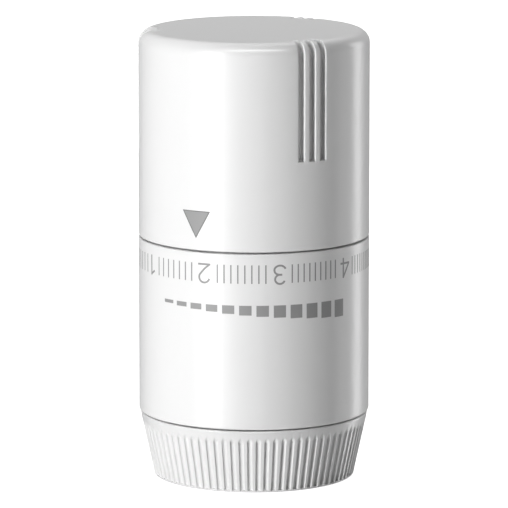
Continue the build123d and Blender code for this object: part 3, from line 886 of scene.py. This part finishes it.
# ------------------------------------------------------------------ handle
class RADIATOR_HEAD_OT_handle(Operator):
    """Makes the turning handle with its grip grooves and stop lug"""

    bl_idname = "radiator_head.handle"
    bl_label = "Handle"

    top_fillet = 2.2
    bend = 4.5  # radius of the groove's floor where it runs out over the top edge
    bend_lift = 0.257  # how far that curve's highest point would stand above the top face
    groove_angles = (23.9, 29.9, 36.0)
    groove_groups = 3
    land_turn = math.radians(3.0)  # from a groove's middle to the middle of the land beside it
    # the rolled edge of a groove: distances outside the groove and depths there
    rim = ((0.08, 0.0), (0.045, 0.006), (0.02, 0.022), (0.004, 0.05), (0.0, 0.09))
    floor_rise = 0.12  # how far a groove's floor rises at its two sides
    floor_sides = (0.92, 0.7, 0.37, 0.0)  # places on that floor, as parts of its half width
    groove_clear = 3.6  # degrees from a group's outer grooves to the plain part beside them
    plain_columns = 68  # columns of a plain part
    steady = 16.0  # radius inside which the columns run straight to the middle
    foot_edge = 0.25  # radius of the lower outer edge, at the seam
    foot_face = 0.6  # width of the lower face, with that edge
    wall = 2.0
    hollow_foot = 46.0  # where the wide hollow ends and the running land starts
    land = 16.05  # radius of the running land
    ring_seat = 17.0  # radius of the seat of the snap ring
    ring_span = (39.9, 41.3)
    land_foot = 25.0
    spigot = 17.9  # radius below the land, which clears the drive sleeve's ring
    lug_arc = 20.0
    lug_radii = (16.25, 17.7)
    lug_top = 25.6

    def columns(self, size):
        """(angle of a centre line, sideways distance from it) of every column."""
        half = size["groove_width"] / 2
        sides = [half + out for out, _ in self.rim]
        sides += [half - 0.002, *(half * share for share in self.floor_sides)]
        mirrored = sides + [-side for side in reversed(sides[:-1])]
        turn = 360 / self.groove_groups
        found = []
        for group in range(self.groove_groups):
            angles = [a + group * turn for a in self.groove_angles]
            for angle in angles:
                centre = math.radians(angle - 90)
                found += [(centre, side) for side in reversed(mirrored)]
                if angle != angles[-1]:
                    found.append((centre + self.land_turn, 0.0))
            first = angles[-1] + self.groove_clear
            last = angles[0] + turn - self.groove_clear
            for i in range(self.plain_columns):
                angle = first + (last - first) * i / (self.plain_columns - 1)
                found.append((math.radians(angle - 90), 0.0))
        return found

    def skin_rows(self, size):
        """The outside from the foot to the top's middle, as (radius, height, normal's
        radius and height, groove depth, limit on that depth)."""
        radius, top, foot = size["barrel_radius"], size["top"], size["groove_foot"]
        low = size["sleeve_top"] + size["seam"]
        deep = size["groove_depth"]
        bend_r, bend_z = radius - deep - self.bend, top + self.bend_lift - self.bend
        corner_r, corner_z = radius - self.top_fillet, top - self.top_fillet
        free = self.bend  # more than any depth, so no limit

        def beside(height):
            """Depth of the groove's floor at a height on the barrel."""
            if height <= bend_z:
                return deep
            return radius - bend_r - math.sqrt(self.bend**2 - (height - bend_z) ** 2)

        edge = self.foot_edge
        rows = [
            (radius - edge + edge * math.sin(a), low + edge - edge * math.cos(a), 1, 0, 0, 0)
            for a in (math.radians(18 * i) for i in range(6))
        ]
        rows += [(radius, height, 1, 0, 0, 0) for height in (low + 0.4, 47, 50, 54, foot - 0.5)]
        rows += [(radius, foot - out, 1, 0, deep, limit) for out, limit in self.rim]
        rows += [(radius, foot + 0.002, 1, 0, deep, deep * 0.93)]
        heights = [foot + 0.1, foot + 0.4, 60, 64, 68, 71]
        heights += [bend_z + (corner_z - bend_z) * i / 6 for i in range(6)]
        rows += [(radius, height, 1, 0, beside(height), free) for height in heights]
        for i in range(13):
            angle = math.radians(7.5 * i)
            nr, nz = math.cos(angle), math.sin(angle)
            side, up = corner_r - bend_r, corner_z - bend_z
            along = nr * side + nz * up
            inner = -along + math.sqrt(along**2 + self.bend**2 - side**2 - up**2)
            place = (corner_r + self.top_fillet * nr, corner_z + self.top_fillet * nz)
            rows.append((*place, nr, nz, self.top_fillet - inner, free))
        near = [17.6, 17.4, 17.2, 17.0, 16.8, 16.6, 16.4, 16.25, 16.1, 16.0, 15.7]
        for across in (*near, 12.0, 8.0, 4.0, 1.0):
            rise = self.bend
            if across > bend_r:
                rise = math.sqrt(self.bend**2 - (across - bend_r) ** 2)
            rows.append((across, top, 0, 1, max(0.0, top - bend_z - rise), free))
        return rows

    def depth(self, side, row, half):
        """How far a point of the outside is pushed in, at a distance from the groove's middle."""
        whole, limit = row[4], row[5]
        if whole <= 0:
            return 0.0
        away = abs(side) - half
        if away > -0.001:
            rim = next(depth for out, depth in self.rim if away > out - 0.001)
            pushed = rim * min(1.0, whole / 0.6)
        else:
            shallow = min(1.0, max(0.0, 2 * (1 - whole)))
            rise = self.floor_rise + (half - self.floor_rise) * shallow
            pushed = whole - rise * (1 - math.sqrt(1 - (side / half) ** 2))
        return max(0.0, min(pushed, limit))

    def cap(self, size):
        """Points and faces of the cap, from the middle of its ceiling round to its top."""
        radius, low = size["barrel_radius"], size["sleeve_top"] + size["seam"]
        hollow, ceiling = radius - self.wall, size["top"] - self.wall
        land, spigot = self.land, self.spigot
        ring_foot, ring_top = self.ring_span
        inside = rounded(
            [
                (0, ceiling, 0),
                (hollow, ceiling, 0.5),
                (hollow, self.hollow_foot, 0),
                (land, self.hollow_foot, 0.2),
                (land, ring_top, 0),
                (self.ring_seat, ring_top, 0),
                (self.ring_seat, ring_foot, 0),
                (land, ring_foot, 0),
                (land, self.land_foot, 0.3),
                (spigot, self.land_foot, 0.2),
                (spigot, low, 0),
                (radius - self.foot_face, low, 0),
            ],
            steps=2,
        )
        columns = self.columns(size)
        rows = [[(0.0, 0.0, inside[0][1] * MM)]]
        for ring, height in inside[1:]:
            rows.append([on_circle(ring, c + math.asin(s / radius), height) for c, s in columns])
        half = size["groove_width"] / 2
        for row in self.skin_rows(size):
            points = []
            for centre, side in columns:
                pushed = self.depth(side, row, half) if side or row[4] else 0.0
                if side == 0.0 and not self.in_groove(centre):
                    pushed = 0.0
                ring, height = row[0] - row[2] * pushed, row[1] - row[3] * pushed
                angle = centre + math.asin(side / max(ring, self.steady))
                points.append(on_circle(ring, angle, height))
            rows.append(points)
        rows.append([(0.0, 0.0, size["top"] * MM)])
        return skin(rows, loop=False)

    def in_groove(self, centre):
        """True if a column with no sideways distance is the middle of a groove."""
        angle = math.degrees(centre) + 90
        turn = 360 / self.groove_groups
        return any(abs((angle - a + turn / 2) % turn - turn / 2) < 0.01 for a in self.groove_angles)

    def lug(self):
        """Points and faces of the stop lug under the handle's skirt."""
        inner, outer = self.lug_radii
        foot, top = HANDLE_BOX[0].z / MM, self.lug_top
        corners = [(inner, foot, 0.2), (outer, foot, 0.2), (outer, top, 0), (inner, top, 0)]
        section = rounded(corners)
        steps = 16
        rows = []
        for radius, height in section:
            turns = [self.lug_arc * (i / steps - 0.5) - 90 for i in range(steps + 1)]
            rows.append([on_circle(radius, math.radians(turn), height) for turn in turns])
        points, faces = skin(rows, around=False)
        width = steps + 1
        faces.append(tuple(i * width for i in range(len(rows))))
        faces.append(tuple(i * width + steps for i in reversed(range(len(rows)))))
        return points, faces

    def execute(self, context):
        size = sizes()
        mesh = mesh_of("cap", *joined(self.cap(size), self.lug()))
        material = finishes()["shell"]
        add_piece("handle_cap", mesh, material, "handle", ["handle_shell"])
        return {"FINISHED"}


# ------------------------------------------------------------------ prints
def arc(x, y, across, up, start, end, steps=14):
    """Points on an ellipse between two angles in degrees."""
    return [
        (
            x + across * math.cos(math.radians(start + (end - start) * i / steps)),
            y + up * math.sin(math.radians(start + (end - start) * i / steps)),
        )
        for i in range(steps + 1)
    ]


DIGITS = {
    "0": [arc(0, 0.5, 0.29, 0.455, 90, 450, 28)],
    "1": [[(0.07, 0.0), (0.07, 1.0)], [(0.09, 0.955), (-0.22, 0.76)]],
    "2": [
        arc(0, 0.69, 0.275, 0.265, 168, -32) + [(-0.02, 0.26), (-0.27, 0.05)],
        [(-0.33, 0.045), (0.33, 0.045)],
    ],
    "3": [
        arc(-0.01, 0.725, 0.245, 0.23, 160, -78),
        arc(-0.01, 0.275, 0.285, 0.23, 88, -165),
        [(-0.12, 0.5), (0.05, 0.5)],
    ],
    "4": [
        [(0.13, 0.0), (0.13, 1.0)],
        [(0.13, 0.965), (-0.30, 0.29)],
        [(-0.345, 0.275), (0.34, 0.275)],
    ],
    "5": [
        [(0.27, 0.955), (-0.22, 0.955)],
        [(-0.185, 0.98), (-0.245, 0.50)],
        arc(0, 0.315, 0.29, 0.27, 142, -160),
    ],
    "*": [
        [(0.0, 0.14), (0.0, 0.86)],
        [(-0.31, 0.32), (0.31, 0.68)],
        [(-0.31, 0.68), (0.31, 0.32)],
    ],
}


class RADIATOR_HEAD_OT_prints(Operator):
    """Prints the scale, the level bars and the pointer"""

    bl_idname = "radiator_head.prints"
    bl_label = "Prints"

    numbers = {"0": -110.0, "*": -94.0, "1": -60.7, "2": -25.1, "3": 12.7, "4": 51.2, "5": 88.2}
    # first angle, last angle and count of the ticks between two numbers
    tick_runs = (
        (-86.0, -66.0, 6),
        (-54.5, -32.1, 7),
        (-18.2, 5.8, 8),
        (19.0, 44.1, 9),
        (57.4, 82.2, 10),
    )
    tick_span = (36.95, 40.15)
    tick_width = 0.23
    digit_foot, digit_height = 40.2, 3.5  # a digit's foot is its upper edge here
    pen = 0.34
    bars = 12
    bar_reach = 51.0  # degrees from the middle of the row to its ends
    bar_share = 0.72  # part of the pitch that a bar fills
    bar_top, bar_height = 33.15, 3.0
    least_bar = 0.12  # height of a bar with no share, as a part of the whole
    pointer_angle = -29.6
    pointer_span = (44.4, 49.15)
    pointer_width = 5.4
    outline_width = 0.16

    def slab(self, left, right, lower, upper, ink, steps=1):
        """A thin flat plate between two height functions, from left to right."""
        rows = []
        for lift in (-ink, ink):
            low, high = [], []
            for i in range(steps + 1):
                x = left + (right - left) * i / steps
                low.append((x * MM, lower(x) * MM, lift * MM))
                high.append((x * MM, upper(x) * MM, lift * MM))
            rows += [low, high] if lift < 0 else [high, low]
        points, faces = skin(rows, around=False)
        width = steps + 1
        faces.append(tuple(i * width for i in range(4)))
        faces.append(tuple(i * width + steps for i in reversed(range(4))))
        return points, [tuple(reversed(face)) for face in faces]

    def ticks(self, size, material):
        """Meshes of the tick marks, one for each run between two numbers."""
        half, low, high = self.tick_width / 2, *self.tick_span
        inner, outer = size["barrel_radius"] - size["ink"], size["barrel_radius"] + size["ink"]
        corners = [(inner, -half), (outer, -half), (outer, half), (inner, half)]
        group = shared_group(repeat_round_axis, "Repeat Round Axis")
        for first, last, count in self.tick_runs:
            rows = [[(x * MM, y * MM, z * MM) for x, y in corners] for z in (low, high)]
            points, faces = skin(rows, loop=False)
            faces += [(3, 2, 1, 0), (4, 5, 6, 7)]
            values = {
                "Count": count,
                "First Angle": math.radians(first - 90),
                "Step Angle": math.radians((last - first) / (count - 1)),
                "Material": material,
            }
            yield run_groups("ticks", mesh_of("tick", points, faces), (group, values))

    def drawing(self, strokes):
        """An edge mesh of pen strokes."""
        points, edges = [], []
        for stroke in strokes:
            start = len(points)
            points += [(x * MM, y * MM, 0.0) for x, y in stroke]
            edges += [(start + i, start + i + 1) for i in range(len(stroke) - 1)]
        return mesh_of("strokes", points, [], edges)

    def digits(self, size):
        """Pen strokes of the numbers, which stand on their heads."""
        tall = self.digit_height
        for name, angle in self.numbers.items():
            middle = math.radians(angle) * size["barrel_radius"]
            for stroke in DIGITS[name]:
                yield [(middle - x * tall, self.digit_foot - y * tall) for x, y in stroke]

    def level_bars(self, size):
        """A row of bars that hang from one line and grow with the setting."""
        reach = math.radians(self.bar_reach) * size["barrel_radius"]
        pitch = 2 * reach / self.bars
        for i in range(self.bars):
            middle = -reach + pitch * (i + 0.5)
            half = pitch * self.bar_share / 2
            share = self.least_bar + (1 - self.least_bar) * (i + 1) / self.bars
            foot = self.bar_top - self.bar_height * share
            yield self.slab(
                middle - half,
                middle + half,
                lambda x, foot=foot: foot,
                lambda x: self.bar_top,
                size["ink"],
                steps=8,
            )

    def pointer(self, size):
        """The pointer's plate, and the pen strokes round its edge."""
        middle = math.radians(self.pointer_angle) * size["barrel_radius"]
        tip, top = self.pointer_span
        half = self.pointer_width / 2
        side = (top - tip) / half
        plate = self.slab(
            middle - half,
            middle + half,
            lambda x: tip + abs(x - middle) * side,
            lambda x: top,
            size["ink"],
            steps=40,
        )
        # the strokes lie inside the plate, and further in at its sharp corners
        inset = self.outline_width / 2
        corners = [
            (middle - half + inset * 2, top - inset),
            (middle + half - inset * 2, top - inset),
            (middle, tip + inset * 2.2),
        ]
        return plate, [[corners[i], corners[(i + 1) % 3]] for i in range(3)]

    def execute(self, context):
        size = sizes()
        finish_of = finishes()
        grey, dark = finish_of["print"], finish_of["outline"]
        plates, strokes = wrapped_plates(), wrapped_strokes()
        flat = {"Radius": size["barrel_radius"] * MM, "Material": grey}
        digit_pen = {
            **flat,
            "Pen Width": self.pen * MM,
            "Ink": 2 * size["ink"] * MM,
            "Step": 0.2 * MM,
        }
        outline_pen = {
            **digit_pen,
            "Pen Width": self.outline_width * MM,
            "Ink": 3 * size["ink"] * MM,
            "Material": dark,
        }
        plate, outline = self.pointer(size)
        bars = mesh_of("bars", *joined(*self.level_bars(size)))
        scale = list(self.ticks(size, grey))
        scale.append(run_groups("digits", self.drawing(self.digits(size)), (strokes, digit_pen)))
        level = run_groups("bars", bars, (plates, flat))
        pointer = run_groups("pointer", mesh_of("pointer", *plate), (plates, flat))
        edge = run_groups("pointer_edge", self.drawing(outline), (strokes, outline_pen))
        add_piece("scale_print", merged(scale), grey, "base")
        add_piece("level_print", level, grey, "base")
        add_piece("pointer_print", pointer, grey, "handle")
        # the darker grey line drawn round the pointer's edge
        add_piece("pointer_edge_print", edge, dark, "handle")
        return {"FINISHED"}


def merged(meshes):
    """One mesh from several."""
    shapes = []
    for mesh in meshes:
        points = [tuple(vertex.co) for vertex in mesh.vertices]
        shapes.append((points, [tuple(face.vertices) for face in mesh.polygons]))
        bpy.data.meshes.remove(mesh)
    return mesh_of("merged", *joined(*shapes))


# ------------------------------------------------------------------ springs and bellows
class RADIATOR_HEAD_OT_springs(Operator):
    """Winds the over-travel spring and the return spring"""

    bl_idname = "radiator_head.springs"
    bl_label = "Springs"

    overtravel = (9.4, 0.75, 3.75)  # mean radius, wire radius and turns
    retracting = (5.95, 0.3, 6.0)

    def wind(self, node, mean_radius, wire_radius, turns):
        """The mesh of a spring that fills the height between the faces it stands between."""
        low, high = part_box(node)
        steel = finishes()["steel"]
        values = {
            "Mean Radius": mean_radius * MM,
            "Wire Radius": wire_radius * MM,
            "Foot": low.z,
            "Height": high.z - low.z,
            "Turns": turns,
            "Material": steel,
        }
        host = mesh_of("spring_host", [(0, 0, 0)], [])
        return run_groups(node, host, (shared_group(coil_spring, "Coil Spring"), values)), steel

    def execute(self, context):
        made, steel = self.wind("overtravel_spring", *self.overtravel)
        spring = add_piece(
            "overtravel_coil", made, steel, None, ["overtravel_spring"]
        )
        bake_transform(spring)
        made, steel = self.wind("return_spring", *self.retracting)
        spring = add_piece("return_coil", made, steel, "base", ["return_spring"])
        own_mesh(spring)
        return {"FINISHED"}


class RADIATOR_HEAD_OT_bellows(Operator):
    """Makes the sensor's thin brass bellows"""

    bl_idname = "radiator_head.bellows"
    bl_label = "Bellows"

    folds = 11
    inner_radius = 6.0
    thickness = 0.25
    steps = 10  # points of the outline in one fold
    fullness = 0.25  # how much rounder a fold's ends are than a plain wave's

    def execute(self, context):
        low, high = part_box("sensor_bellows")
        foot, top = low.z / MM, high.z / MM
        outer, inner = high.x / MM, self.inner_radius
        middle, swing = (outer + inner) / 2, (outer - inner) / 2
        wave = []
        count = self.folds * self.steps
        for i in range(count + 1):
            phase = 2 * math.pi * i / self.steps
            full = 1 + self.fullness - self.fullness * math.cos(phase) ** 2
            bulge = -math.cos(phase) * full
            wave.append((middle + swing * bulge, foot + (top - foot) * i / count))
        outline = wave + [(radius - self.thickness, height) for radius, height in reversed(wave)]
        brass = finishes()["brass"]
        mesh = mesh_of("bellows", *lathe(outline, 96))
        piece = add_piece("bellows_skin", mesh, brass, None, ["sensor_bellows"])
        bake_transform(piece)
        return {"FINISHED"}


# ------------------------------------------------------------------ pieces kept from CAD
KEPT_NODES = {
    "body": ("base_body", "stem_bush", "drive_sleeve"),
    "dark": ("plunger_guide", "stop_ring", "sensor_carrier", "carrier_cap", "spring_seat"),
    "plunger": ("plunger",),
    "steel": (
        "nut_snap_ring",
        "sleeve_screws",
        "handle_snap_ring",
        "guide_clip",
        "cap_clip",
        "plunger_button",
    ),
    "aluminium": ("sensor_shell", "sensor_end_plate"),
    "brass": ("sensor_piston",),
    "copper": ("fill_stub",),
    "rubber": ("friction_ring",),
}


class RADIATOR_HEAD_OT_kept_nodes(Operator):
    """Gives the CAD nodes that stay their finishes"""

    bl_idname = "radiator_head.kept_nodes"
    bl_label = "Inner pieces"

    def execute(self, context):
        finish_of = finishes()
        for name, nodes in KEPT_NODES.items():
            for node in nodes:
                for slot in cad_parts[node].material_slots:
                    slot.material = finish_of[name]
        return {"FINISHED"}


# ------------------------------------------------------------------ stage
class RADIATOR_HEAD_OT_stage(Operator):
    """Sets up the floor, the light and the camera"""

    bl_idname = "radiator_head.stage"
    bl_label = "Stage"

    # name, azimuth and elevation in degrees, distance, width, height in metres, power,
    # whether it lights the matt part of a surface, whether it shows as a highlight
    lights = (
        ("key_panel", -42.0, 6.0, 0.80, 0.25, 0.80, 8.8, True, True),
        ("rim_strip", 124.0, 0.0, 0.80, 0.22, 0.80, 3.1, True, True),
        ("side_strip", 98.0, 0.0, 0.80, 0.12, 0.80, 1.0, True, True),
        ("top_panel", 180.0, 56.0, 0.80, 0.60, 0.60, 6.35, True, False),
        ("edge_strip", 0.0, 54.0, 0.80, 0.70, 0.05, 5.5, False, True),
        ("under_panel", 0.0, -88.0, 0.50, 0.25, 0.25, 0.7, True, True),
    )
    ambient = 0.05
    floor_glow = 0.95
    camera_distance = 0.9
    camera_elevation = 10.0
    aim_z = 0.0386
    lens = 367.0
    floor_reach = 8.0
    floor_height = -2e-5  # just under the nut, so that the two faces don't meet

    def floor(self, scene, tint):
        """A wide pale floor. It is clear from below and to the light of the panels, so that
        they reach the whole height of the head evenly."""
        reach, height = self.floor_reach, self.floor_height
        corners = [(-reach, -reach), (reach, -reach), (reach, reach), (-reach, reach)]
        mesh = mesh_of("floor", [(x, y, height) for x, y in corners], [(0, 1, 2, 3)])
        material = bpy.data.materials.new("pale_floor")
        material.use_nodes = True
        material.node_tree.nodes.clear()
        tree = Tree(material.node_tree)
        grain = tree.node(
            "ShaderNodeTexNoise",
            {"Vector": tree.node("ShaderNodeTexCoord").outputs["Object"], "Scale": 60.0},
        ).outputs[0]
        rough = tree.math("MULTIPLY_ADD", grain, 0.1, 0.75)
        paths = tree.node("ShaderNodeLightPath").outputs
        pale = tree.node(
            "ShaderNodeBsdfPrincipled",
            {
                "Base Color": (*tint, 1.0),
                "Roughness": rough,
                "Specular IOR Level": 0.2,
                "Emission Color": (1.0, 1.0, 1.0, 1.0),
                "Emission Strength": tree.math(
                    "MULTIPLY", paths["Is Camera Ray"], self.floor_glow
                ),
            },
        ).outputs[0]
        clear = tree.node("ShaderNodeBsdfTransparent").outputs[0]
        opened = tree.math("MAXIMUM", paths["Is Glossy Ray"], paths["Is Shadow Ray"])
        back = tree.node("ShaderNodeNewGeometry").outputs["Backfacing"]
        opened = tree.math("MAXIMUM", opened, back)
        mixed = tree.node("ShaderNodeMixShader", {0: opened, 1: pale, 2: clear}).outputs[0]
        tree.join(mixed, tree.node("ShaderNodeOutputMaterial").inputs["Surface"])
        mesh.materials.append(material)
        floor = bpy.data.objects.new("floor", mesh)
        scene.collection.objects.link(floor)

    def aimed(self, obj, azimuth, elevation, distance):
        """Puts an object on a sphere round the head's middle, facing it."""
        turn, rise = math.radians(azimuth), math.radians(elevation)
        back = Vector(
            (
                math.sin(turn) * math.cos(rise),
                -math.cos(turn) * math.cos(rise),
                math.sin(rise),
            )
        )
        obj.location = Vector((0, 0, self.aim_z)) + back * distance
        obj.rotation_mode = "QUATERNION"
        obj.rotation_quaternion = (-back).to_track_quat("-Z", "Y")

    def panels(self, scene):
        """The lights."""
        for name, azimuth, elevation, distance, width, height, power, matt, shine in self.lights:
            data = bpy.data.lights.new(name, "AREA")
            data.shape, data.size, data.size_y, data.energy = "RECTANGLE", width, height, power
            lamp = bpy.data.objects.new(name, data)
            lamp.visible_diffuse, lamp.visible_glossy = matt, shine
            scene.collection.objects.link(lamp)
            self.aimed(lamp, azimuth, elevation, distance)

    def room(self, scene):
        """A white room, which the camera sees in full and the surfaces only faintly."""
        world = bpy.data.worlds.new("studio")
        world.use_nodes = True
        world.node_tree.nodes.clear()
        tree = Tree(world.node_tree)
        seen = tree.node("ShaderNodeLightPath").outputs["Is Camera Ray"]
        strength = tree.math("MULTIPLY_ADD", seen, 1.0 - self.ambient, self.ambient)
        glow = tree.node(
            "ShaderNodeBackground", {"Color": (1.0, 1.0, 1.0, 1.0), "Strength": strength}
        ).outputs[0]
        tree.join(glow, tree.node("ShaderNodeOutputWorld").inputs["Surface"])
        scene.world = world
        scene.view_settings.view_transform = "Standard"

    def camera(self, scene):
        """The camera."""
        data = bpy.data.cameras.new("camera")
        data.sensor_width, data.lens = 36.0, self.lens
        data.clip_start, data.clip_end = 0.05, 30.0
        camera = bpy.data.objects.new("camera", data)
        scene.collection.objects.link(camera)
        self.aimed(camera, 0, self.camera_elevation, self.camera_distance)
        scene.camera = camera

    def execute(self, context):
        scene = context.scene
        self.floor(scene, scene.radiator_head_colours.floor)
        self.panels(scene)
        self.room(scene)
        self.camera(scene)
        return {"FINISHED"}


# ------------------------------------------------------------------ panel and run
STEPS = (
    RADIATOR_HEAD_OT_union_nut,
    RADIATOR_HEAD_OT_scale_sleeve,
    RADIATOR_HEAD_OT_handle,
    RADIATOR_HEAD_OT_prints,
    RADIATOR_HEAD_OT_springs,
    RADIATOR_HEAD_OT_bellows,
    RADIATOR_HEAD_OT_kept_nodes,
    RADIATOR_HEAD_OT_stage,
)


class RADIATOR_HEAD_PT_panel(Panel):
    """Lists the sizes, the colours and the steps"""

    bl_idname = "RADIATOR_HEAD_PT_panel"
    bl_label = "Radiator Head"
    bl_space_type = "VIEW_3D"
    bl_region_type = "UI"
    bl_category = "Radiator Head"

    def draw(self, context):
        layout = self.layout
        scene = context.scene
        for title, group in (
            ("Sizes", scene.radiator_head_sizes),
            ("Colours", scene.radiator_head_colours),
        ):
            box = layout.box()
            box.label(text=title)
            for name in group.__annotations__:
                box.prop(group, name)
        for step in STEPS:
            layout.operator(step.bl_idname)


CLASSES = (HeadSizes, HeadColours, *STEPS, RADIATOR_HEAD_PT_panel)


def register():
    """Registers the classes and hangs the properties on the scene."""
    for cls in CLASSES:
        bpy.utils.register_class(cls)
    bpy.types.Scene.radiator_head_sizes = PointerProperty(type=HeadSizes)
    bpy.types.Scene.radiator_head_colours = PointerProperty(type=HeadColours)


def unregister():
    """Takes everything back that register did."""
    del bpy.types.Scene.radiator_head_colours
    del bpy.types.Scene.radiator_head_sizes
    for cls in reversed(CLASSES):
        bpy.utils.unregister_class(cls)


def main():
    """Builds every piece in order."""
    register()
    for step in STEPS:
        group, name = step.bl_idname.split(".")
        getattr(getattr(bpy.ops, group), name)()


if __name__ == "__main__":
    main()
